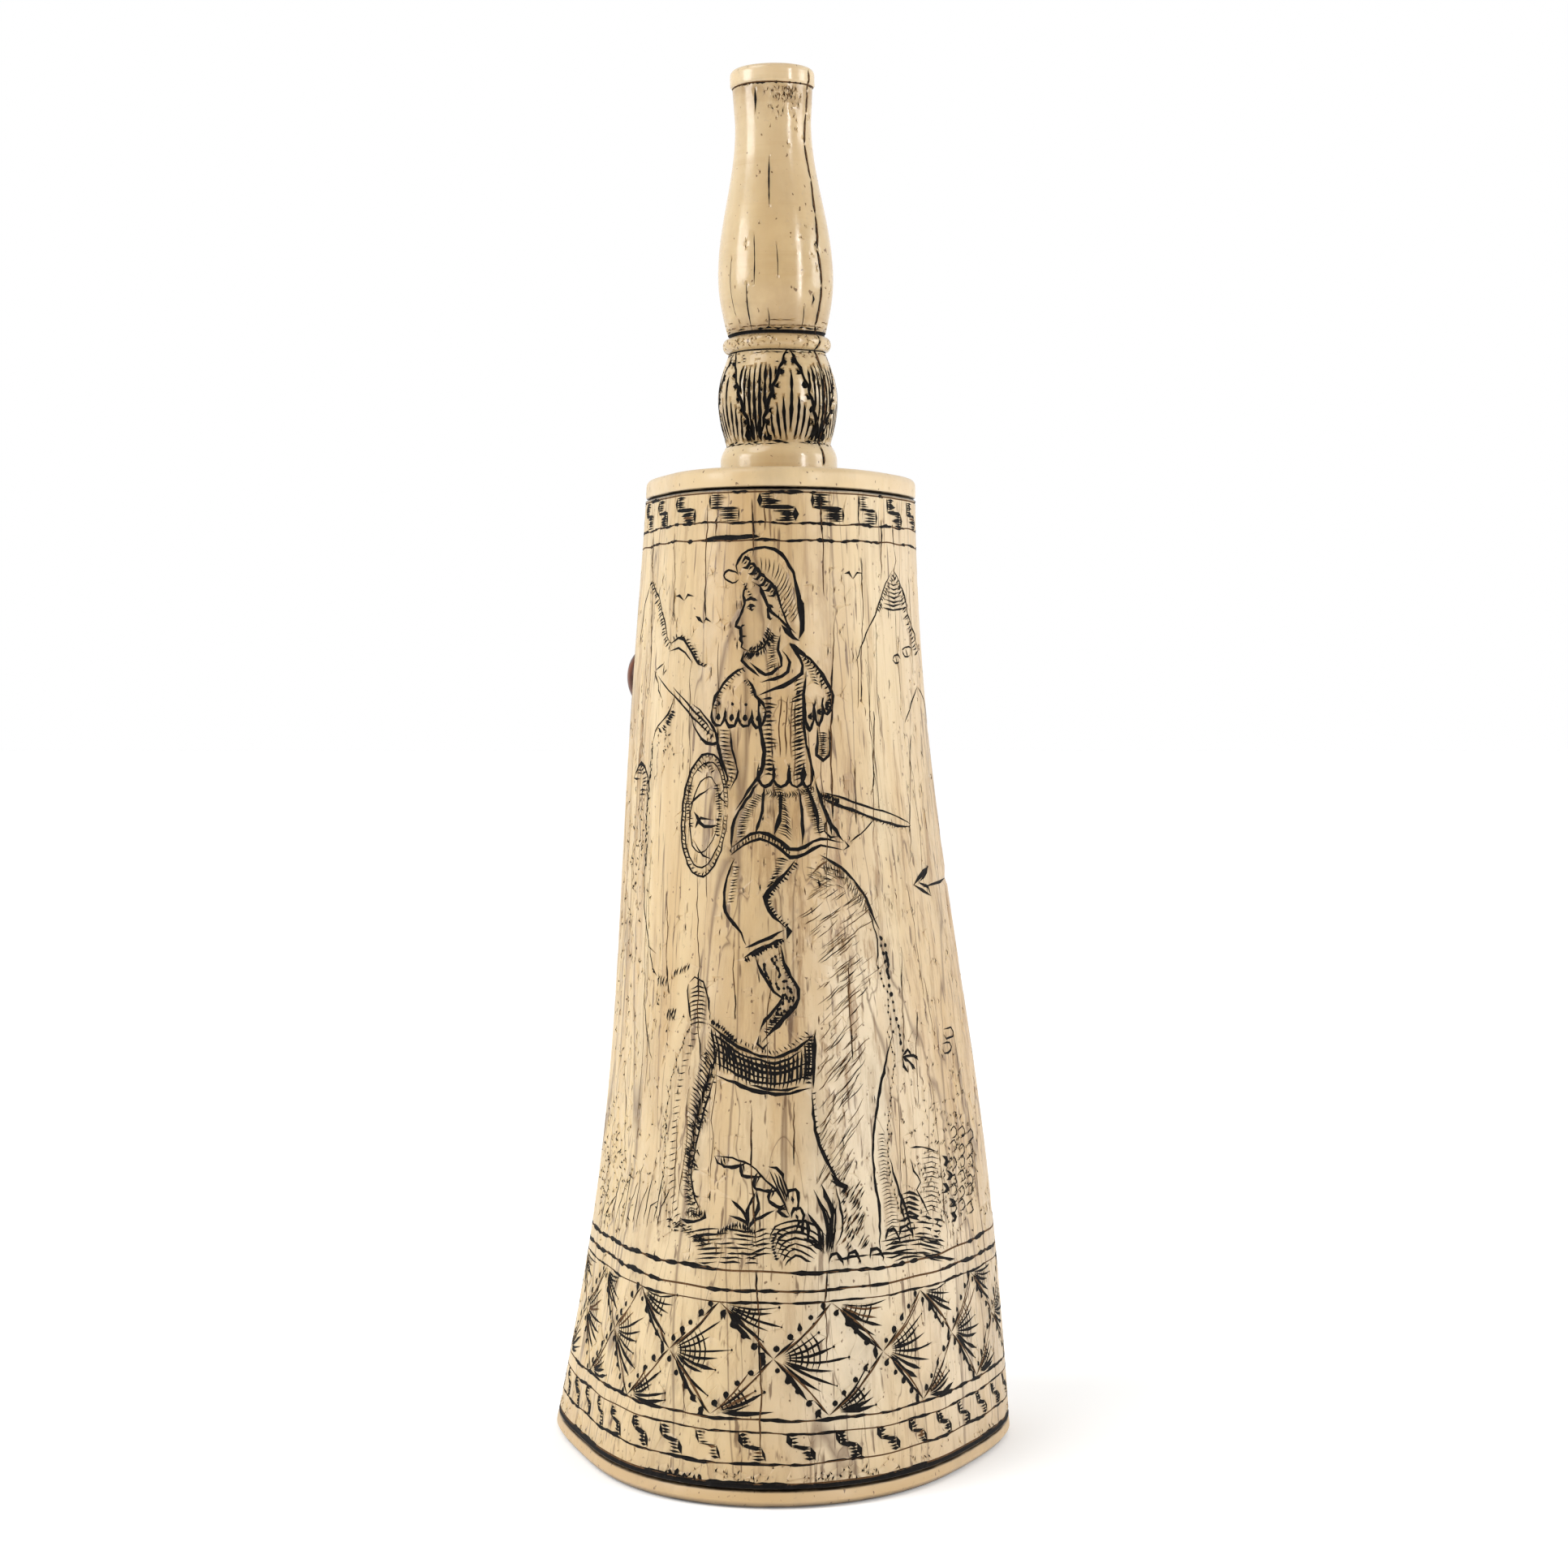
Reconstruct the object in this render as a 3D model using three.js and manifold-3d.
// An engraved bone flask: a hollow, flared shaft of bone standing on a base plate of bone,
// closed above by a top plate that carries a turned spout. A dark peg is set in its side.
// Millimetres, +Z up. The origin is on the underside of the base plate, at the middle of its
// section, and the side with the front ridge faces -Y.
import * as THREE from 'three';
import { mergeVertices } from 'three/addons/utils/BufferGeometryUtils.js';
import Module from 'manifold-3d';

// The shaft's flare, wall and length
const BASE_RADIUS = 34;
const TOP_RADIUS = 20;
const FLARE_POWER = 1.38;
const SHAFT_LENGTH = 129.2;
const SHAFT_WALL = 4.5;
const SHAFT_BOW = 0.86;
const SHAFT_SWAY = 1.0;

// The rounded three-cornered section of the bone, as shares of its mean radius
const OVAL_SHARE = 0.071;
const OVAL_TURN_DEG = 93;
const CORNER_SHARE = 0.068;
const CORNER_TURN_DEG = 24.3;

// The plates that close the shaft, and the seam left at every joint
const BASE_PLATE_THICKNESS = 2.3;
const TOP_PLATE_THICKNESS = 2.8;
const PLATE_EDGE_ROUNDING = 1.0;
const JOINT_GAP = 0.3;

// Border lines cut round the shaft. The upper ones are measured down from the top plate,
// the lower ones up from the base plate.
const UPPER_LINE_DROPS = [4.6, 6.8];
const LOWER_LINE_RISES = [3.4, 8.8, 23.3, 27.1];
const LINE_HALF_WIDTH = 0.3;
const LINE_DEPTH = 0.25;

// The spout's bore and its turned profile, from the foot up
const SPOUT_LEAN_DEG = 1.0;
const BORE_RADIUS = 3.6;
const SPIGOT_RADIUS = 5.2;
const FOOT_RADIUS = 8.2;
const FOOT_HEIGHT = 4.2;
const FOOT_NECK_RADIUS = 7.3;
const BULB_RADIUS = 8.4;
const BULB_HEIGHT = 13.0;
const BULB_BELLY_HEIGHT = 6.3;
const COLLAR_NECK_RADIUS = 6.75;
const COLLAR_RADIUS = 7.6;
const COLLAR_HEIGHT = 2.1;
const BALUSTER_RADIUS = 8.1;
const BALUSTER_HEIGHT = 35.2;
const BALUSTER_BELLY_HEIGHT = 8.4;
const THROAT_RADIUS = 5.35;
const THROAT_DROP = 5.0;
const THROAT_TOP_RADIUS = 5.65;
const LIP_RADIUS = 5.95;
const LIP_HEIGHT = 2.6;
const LIP_ROUNDING = 0.9;

// The leaves and flutes carved round the bulb
const LEAF_COUNT = 5;
const LEAF_TURN_DEG = -77;
const LEAF_HALF_WIDTH_DEG = 33;
const LEAF_TAPER_POWER = 0.75;
const SAMPLES_PER_LEAF = 16;
const CARVING_DEPTH = 0.4;
const VEIN_REACH = 0.75;
const SIDE_FLUTE_REACH = 0.45;
const FLUTE_REACH = 0.85;

// The dark peg in the side
const PEG_RADIUS = 4.3;
const PEG_DEPTH = 2.2;
const PEG_RISE = 2.0;
const PEG_RIM_DROP = 0.6;
const PEG_HEIGHT_ABOVE_BASE = 107;
const PEG_TURN_DEG = 148;

// Facets
const SHAFT_SIDES = 48;
const SHAFT_ROWS = 9;
const BORE_ROWS = 4;
const BULB_ROWS = 11;
const BALUSTER_BELLY_ROWS = 3;
const BALUSTER_NECK_ROWS = 6;
const PEG_SIDES = 24;
const PEG_DOME_ROWS = 5;

const BASE_PLATE_TOP = BASE_PLATE_THICKNESS;
const SHAFT_BOTTOM = BASE_PLATE_TOP + JOINT_GAP;
const SHAFT_TOP = SHAFT_BOTTOM + SHAFT_LENGTH;
const TOP_PLATE_BOTTOM = SHAFT_TOP + JOINT_GAP;
const TOP_PLATE_TOP = TOP_PLATE_BOTTOM + TOP_PLATE_THICKNESS;
const SPOUT_BOTTOM = TOP_PLATE_TOP + JOINT_GAP;
const SPIGOT_LENGTH = TOP_PLATE_THICKNESS + JOINT_GAP;
const PLATE_HOLE_RADIUS = SPIGOT_RADIUS + JOINT_GAP;

const boneColour = new THREE.MeshStandardMaterial({ color: 0xe9d9b4, roughness: 0.5, metalness: 0 });
const plateColour = new THREE.MeshStandardMaterial({ color: 0xecdcae, roughness: 0.5, metalness: 0 });
const spoutColour = new THREE.MeshStandardMaterial({ color: 0xeadcb6, roughness: 0.42, metalness: 0 });
const hornColour = new THREE.MeshStandardMaterial({ color: 0x1c0f0a, roughness: 0.25, metalness: 0 });

const manifoldLibrary = await Module();
manifoldLibrary.setup();

function radians(degrees) {
  return degrees * Math.PI / 180;
}

// Half a cosine wave from a to b, level at both ends
function ease(a, b, share) {
  return a + (b - a) * (1 - Math.cos(Math.PI * share)) / 2;
}

// The bone's section: one broad oval term and three soft corners
function sectionShare(angle) {
  const oval = OVAL_SHARE * Math.cos(2 * (angle - radians(OVAL_TURN_DEG)));
  const corners = CORNER_SHARE * Math.cos(3 * (angle - radians(CORNER_TURN_DEG)));
  return 1 + oval + corners;
}

// How far up the whole bone height a level lies, from 0 at the ground to 1 at the top plate
function heightShare(z) {
  return THREE.MathUtils.clamp(z / TOP_PLATE_TOP, 0, 1);
}

function shaftRadius(z) {
  return TOP_RADIUS + (BASE_RADIUS - TOP_RADIUS) * (1 - heightShare(z)) ** FLARE_POWER;
}

function shaftCentreX(z) {
  const share = heightShare(z);
  return SHAFT_BOW * Math.sin(Math.PI * share) + SHAFT_SWAY * Math.sin(2 * Math.PI * share);
}

// One ring of the bone's section at a level, set in or out from its true surface
function boneRing(z, inset) {
  const ring = [];
  for (let side = 0; side < SHAFT_SIDES; side += 1) {
    const angle = 2 * Math.PI * side / SHAFT_SIDES;
    const radius = shaftRadius(z) * sectionShare(angle) - inset;
    ring.push([shaftCentreX(z) + radius * Math.cos(angle), radius * Math.sin(angle), z]);
  }
  return ring;
}

function circleRing(radius, z, sides) {
  const ring = [];
  for (let side = 0; side < sides; side += 1) {
    const angle = 2 * Math.PI * side / sides;
    ring.push([radius * Math.cos(angle), radius * Math.sin(angle), z]);
  }
  return ring;
}

function geometryFrom(points, triangles) {
  const geometry = new THREE.BufferGeometry();
  geometry.setAttribute('position', new THREE.Float32BufferAttribute(points.flat(), 3));
  geometry.setIndex(triangles.flat());
  geometry.computeVertexNormals();
  return geometry;
}

// The triangles between ring number lower and ring number upper
function bandTriangles(lower, upper, sides) {
  const triangles = [];
  for (let side = 0; side < sides; side += 1) {
    const next = (side + 1) % sides;
    const a = lower * sides + side;
    const b = lower * sides + next;
    const c = upper * sides + next;
    const d = upper * sides + side;
    triangles.push([a, b, c], [a, c, d]);
  }
  return triangles;
}

// A solid with a hole through it: its rings go up the outside and back down the inside
function hollowSolid(rings) {
  const sides = rings[0].length;
  const triangles = [];
  rings.forEach((ring, index) => {
    triangles.push(...bandTriangles(index, (index + 1) % rings.length, sides));
  });
  return geometryFrom(rings.flat(), triangles);
}

// A solid without a hole: its rings go up the outside, and a fan closes each end
function filledSolid(rings, bottomCentre, topCentre) {
  const sides = rings[0].length;
  const triangles = [];
  for (let index = 0; index + 1 < rings.length; index += 1) {
    triangles.push(...bandTriangles(index, index + 1, sides));
  }
  const bottom = rings.length * sides;
  const top = bottom + 1;
  const lastRing = (rings.length - 1) * sides;
  for (let side = 0; side < sides; side += 1) {
    const next = (side + 1) % sides;
    triangles.push([bottom, next, side]);
    triangles.push([top, lastRing + side, lastRing + next]);
  }
  return geometryFrom([...rings.flat(), bottomCentre, topCentre], triangles);
}

function toManifold(geometry) {
  const bare = geometry.clone();
  bare.deleteAttribute('normal');
  if (bare.getAttribute('uv')) bare.deleteAttribute('uv');
  const merged = mergeVertices(bare);
  const mesh = new manifoldLibrary.Mesh({
    numProp: 3,
    vertProperties: new Float32Array(merged.getAttribute('position').array),
    triVerts: new Uint32Array(merged.getIndex().array),
  });
  return new manifoldLibrary.Manifold(mesh);
}

function fromManifold(solid) {
  const mesh = solid.getMesh();
  const geometry = new THREE.BufferGeometry();
  geometry.setAttribute('position', new THREE.Float32BufferAttribute(mesh.vertProperties, 3));
  geometry.setIndex(Array.from(mesh.triVerts));
  geometry.computeVertexNormals();
  return geometry;
}

// The levels of the shaft's outer rings: even rows, and three rows for each border line
function shaftLevels() {
  const lines = [
    ...UPPER_LINE_DROPS.map((drop) => TOP_PLATE_BOTTOM - drop),
    ...LOWER_LINE_RISES.map((rise) => BASE_PLATE_TOP + rise),
  ];
  const levels = [];
  for (let row = 0; row <= SHAFT_ROWS; row += 1) {
    const z = SHAFT_BOTTOM + SHAFT_LENGTH * row / SHAFT_ROWS;
    const nearLine = lines.some((line) => Math.abs(line - z) < 3 * LINE_HALF_WIDTH);
    if (!nearLine) levels.push({ z, inset: 0 });
  }
  for (const line of lines) {
    levels.push({ z: line - LINE_HALF_WIDTH, inset: 0 });
    levels.push({ z: line, inset: LINE_DEPTH });
    levels.push({ z: line + LINE_HALF_WIDTH, inset: 0 });
  }
  return levels.sort((a, b) => a.z - b.z);
}

// The point on the bone's surface at a turn and a level, and the level outward normal there
function surfaceFrame(angle, z) {
  const step = 0.01;
  const at = (turn) => {
    const radius = shaftRadius(z) * sectionShare(turn);
    return new THREE.Vector3(shaftCentreX(z) + radius * Math.cos(turn), radius * Math.sin(turn), z);
  };
  const along = at(angle + step).sub(at(angle - step)).normalize();
  const normal = new THREE.Vector3(along.y, -along.x, 0);
  return { point: at(angle), normal };
}

function pegFrame() {
  return surfaceFrame(radians(PEG_TURN_DEG), PEG_HEIGHT_ABOVE_BASE);
}

// Turns a shape that points along +Y so that it points out of the bone, and sets it there
function pegMatrix() {
  const { point, normal } = pegFrame();
  const turn = new THREE.Quaternion().setFromUnitVectors(new THREE.Vector3(0, 1, 0), normal);
  return new THREE.Matrix4().compose(point, turn, new THREE.Vector3(1, 1, 1));
}

function makeShaft() {
  const outside = shaftLevels().map(({ z, inset }) => boneRing(z, inset));
  const inside = [];
  for (let row = 0; row <= BORE_ROWS; row += 1) {
    inside.push(boneRing(SHAFT_TOP - SHAFT_LENGTH * row / BORE_ROWS, SHAFT_WALL));
  }
  const socketDepth = PEG_DEPTH + JOINT_GAP;
  const socketLength = socketDepth + PEG_RISE;
  const socketRadius = PEG_RADIUS + JOINT_GAP;
  const socket = new THREE.CylinderGeometry(socketRadius, socketRadius, socketLength, PEG_SIDES);
  socket.translate(0, socketLength / 2 - socketDepth, 0);
  socket.applyMatrix4(pegMatrix());
  const cut = toManifold(hollowSolid([...outside, ...inside])).subtract(toManifold(socket));
  return new THREE.Mesh(fromManifold(cut), boneColour);
}

function makeBasePlate() {
  const rings = [
    boneRing(0, 0),
    boneRing(BASE_PLATE_TOP, 0),
  ];
  const bottomCentre = [shaftCentreX(0), 0, 0];
  const topCentre = [shaftCentreX(BASE_PLATE_TOP), 0, BASE_PLATE_TOP];
  return new THREE.Mesh(filledSolid(rings, bottomCentre, topCentre), plateColour);
}

function makeTopPlate() {
  const rings = [
    boneRing(TOP_PLATE_BOTTOM, 0),
    boneRing(TOP_PLATE_TOP - PLATE_EDGE_ROUNDING, 0),
    boneRing(TOP_PLATE_TOP - 0.3 * PLATE_EDGE_ROUNDING, 0.3 * PLATE_EDGE_ROUNDING),
    boneRing(TOP_PLATE_TOP, PLATE_EDGE_ROUNDING),
    circleRing(PLATE_HOLE_RADIUS, TOP_PLATE_TOP, SHAFT_SIDES),
    circleRing(PLATE_HOLE_RADIUS, TOP_PLATE_BOTTOM, SHAFT_SIDES),
  ];
  return new THREE.Mesh(hollowSolid(rings), plateColour);
}

// How deep the carving is at a turn round the bulb and a share of the bulb's height.
// Each leaf is pointed at the top, is ringed by a groove and holds a vein and side flutes.
// Narrow upright flutes fill the ground between two leaves.
function carvingDepth(sample, share) {
  const half = SAMPLES_PER_LEAF / 2;
  const step = ((sample + half) % SAMPLES_PER_LEAF) - half;
  const stepDegrees = 360 / (LEAF_COUNT * SAMPLES_PER_LEAF);
  const fromMiddle = Math.abs(step * stepDegrees);
  const leafHalfWidth = LEAF_HALF_WIDTH_DEG * (1 - share) ** LEAF_TAPER_POWER;
  const endFade = Math.min(1, 8 * share, 8 * (1 - share));
  const onEdge = Math.abs(fromMiddle - leafHalfWidth) < 0.6 * stepDegrees;
  if (onEdge) return CARVING_DEPTH * endFade;
  const valley = step % 2 === 0;
  if (fromMiddle > leafHalfWidth) {
    return valley && share < FLUTE_REACH ? 0.8 * CARVING_DEPTH * endFade : 0;
  }
  if (step === 0) return share < VEIN_REACH ? 0.7 * CARVING_DEPTH * endFade : 0;
  return valley && share < SIDE_FLUTE_REACH ? 0.6 * CARVING_DEPTH * endFade : 0;
}

function spoutRing(radius, z, share) {
  const ring = [];
  const sides = LEAF_COUNT * SAMPLES_PER_LEAF;
  for (let side = 0; side < sides; side += 1) {
    const angle = radians(LEAF_TURN_DEG) + 2 * Math.PI * side / sides;
    const carved = share === undefined ? radius : radius - carvingDepth(side, share);
    ring.push([carved * Math.cos(angle), carved * Math.sin(angle), z]);
  }
  return ring;
}

function footRings() {
  return [
    spoutRing(FOOT_RADIUS - 0.2, 0),
    spoutRing(FOOT_RADIUS, 0.2),
    spoutRing(FOOT_RADIUS, 0.55 * FOOT_HEIGHT),
    spoutRing(FOOT_RADIUS - 0.25, 0.78 * FOOT_HEIGHT),
    spoutRing(FOOT_NECK_RADIUS, FOOT_HEIGHT),
  ];
}

function bulbRadius(rise) {
  const belly = rise < BULB_BELLY_HEIGHT;
  if (belly) {
    const share = rise / BULB_BELLY_HEIGHT;
    return FOOT_NECK_RADIUS + (BULB_RADIUS - FOOT_NECK_RADIUS) * Math.sin(Math.PI * share / 2);
  }
  const share = (rise - BULB_BELLY_HEIGHT) / (BULB_HEIGHT - BULB_BELLY_HEIGHT);
  return COLLAR_NECK_RADIUS + (BULB_RADIUS - COLLAR_NECK_RADIUS) * Math.cos(Math.PI * share / 2);
}

function bulbRings() {
  const rings = [];
  for (let row = 1; row < BULB_ROWS; row += 1) {
    const share = row / BULB_ROWS;
    const rise = share * BULB_HEIGHT;
    rings.push(spoutRing(bulbRadius(rise), FOOT_HEIGHT + rise, share));
  }
  return rings;
}

function collarRings() {
  const bottom = FOOT_HEIGHT + BULB_HEIGHT;
  return [
    spoutRing(COLLAR_NECK_RADIUS, bottom),
    spoutRing(COLLAR_RADIUS - 0.3, bottom + 0.15 * COLLAR_HEIGHT),
    spoutRing(COLLAR_RADIUS, bottom + 0.5 * COLLAR_HEIGHT),
    spoutRing(COLLAR_RADIUS - 0.3, bottom + 0.85 * COLLAR_HEIGHT),
    spoutRing(COLLAR_NECK_RADIUS, bottom + COLLAR_HEIGHT),
  ];
}

function balusterRings() {
  const bottom = FOOT_HEIGHT + BULB_HEIGHT + COLLAR_HEIGHT;
  const throat = BALUSTER_HEIGHT - THROAT_DROP;
  const rings = [];
  for (let row = 1; row <= BALUSTER_BELLY_ROWS; row += 1) {
    const share = row / BALUSTER_BELLY_ROWS;
    const swell = (BALUSTER_RADIUS - COLLAR_NECK_RADIUS) * Math.sin(Math.PI * share / 2);
    rings.push(spoutRing(COLLAR_NECK_RADIUS + swell, bottom + share * BALUSTER_BELLY_HEIGHT));
  }
  for (let row = 1; row <= BALUSTER_NECK_ROWS; row += 1) {
    const share = row / BALUSTER_NECK_ROWS;
    const rise = BALUSTER_BELLY_HEIGHT + share * (throat - BALUSTER_BELLY_HEIGHT);
    rings.push(spoutRing(ease(BALUSTER_RADIUS, THROAT_RADIUS, share), bottom + rise));
  }
  rings.push(spoutRing(THROAT_TOP_RADIUS, bottom + BALUSTER_HEIGHT));
  return rings;
}

function lipRings() {
  const bottom = FOOT_HEIGHT + BULB_HEIGHT + COLLAR_HEIGHT + BALUSTER_HEIGHT;
  const top = bottom + LIP_HEIGHT;
  return [
    spoutRing(LIP_RADIUS, bottom + 0.2),
    spoutRing(LIP_RADIUS, top - LIP_ROUNDING),
    spoutRing(LIP_RADIUS - 0.35 * LIP_ROUNDING, top - 0.25 * LIP_ROUNDING),
    spoutRing(LIP_RADIUS - LIP_ROUNDING, top),
  ];
}

function makeSpout() {
  const top = FOOT_HEIGHT + BULB_HEIGHT + COLLAR_HEIGHT + BALUSTER_HEIGHT + LIP_HEIGHT;
  const spigot = [
    spoutRing(SPIGOT_RADIUS, -SPIGOT_LENGTH),
    spoutRing(SPIGOT_RADIUS, 0),
  ];
  const bore = [
    spoutRing(BORE_RADIUS, top),
    spoutRing(BORE_RADIUS, -SPIGOT_LENGTH),
  ];
  const outside = [...footRings(), ...bulbRings(), ...collarRings(), ...balusterRings(), ...lipRings()];
  const spout = new THREE.Mesh(hollowSolid([...spigot, ...outside, ...bore]), spoutColour);
  spout.position.z = SPOUT_BOTTOM;
  spout.rotation.y = -radians(SPOUT_LEAN_DEG);
  return spout;
}

// A short peg with a low domed head, turned about the direction that it points in
function makePeg() {
  const profile = [
    new THREE.Vector2(0, -PEG_DEPTH),
    new THREE.Vector2(PEG_RADIUS, -PEG_DEPTH),
  ];
  const headRise = PEG_RISE + PEG_RIM_DROP;
  for (let row = 0; row <= PEG_DOME_ROWS; row += 1) {
    const turn = Math.PI / 2 * row / PEG_DOME_ROWS;
    const radius = row === PEG_DOME_ROWS ? 0 : PEG_RADIUS * Math.cos(turn);
    profile.push(new THREE.Vector2(radius, headRise * Math.sin(turn) - PEG_RIM_DROP));
  }
  const peg = new THREE.Mesh(new THREE.LatheGeometry(profile, PEG_SIDES), hornColour);
  peg.applyMatrix4(pegMatrix());
  return peg;
}

const flask = new THREE.Group();

function add(name, mesh) {
  mesh.name = name;
  flask.add(mesh);
}

add('base_plate', makeBasePlate());
add('flask_body', makeShaft());
add('top_plate', makeTopPlate());
add('spout', makeSpout());
add('side_peg', makePeg());

export default flask;
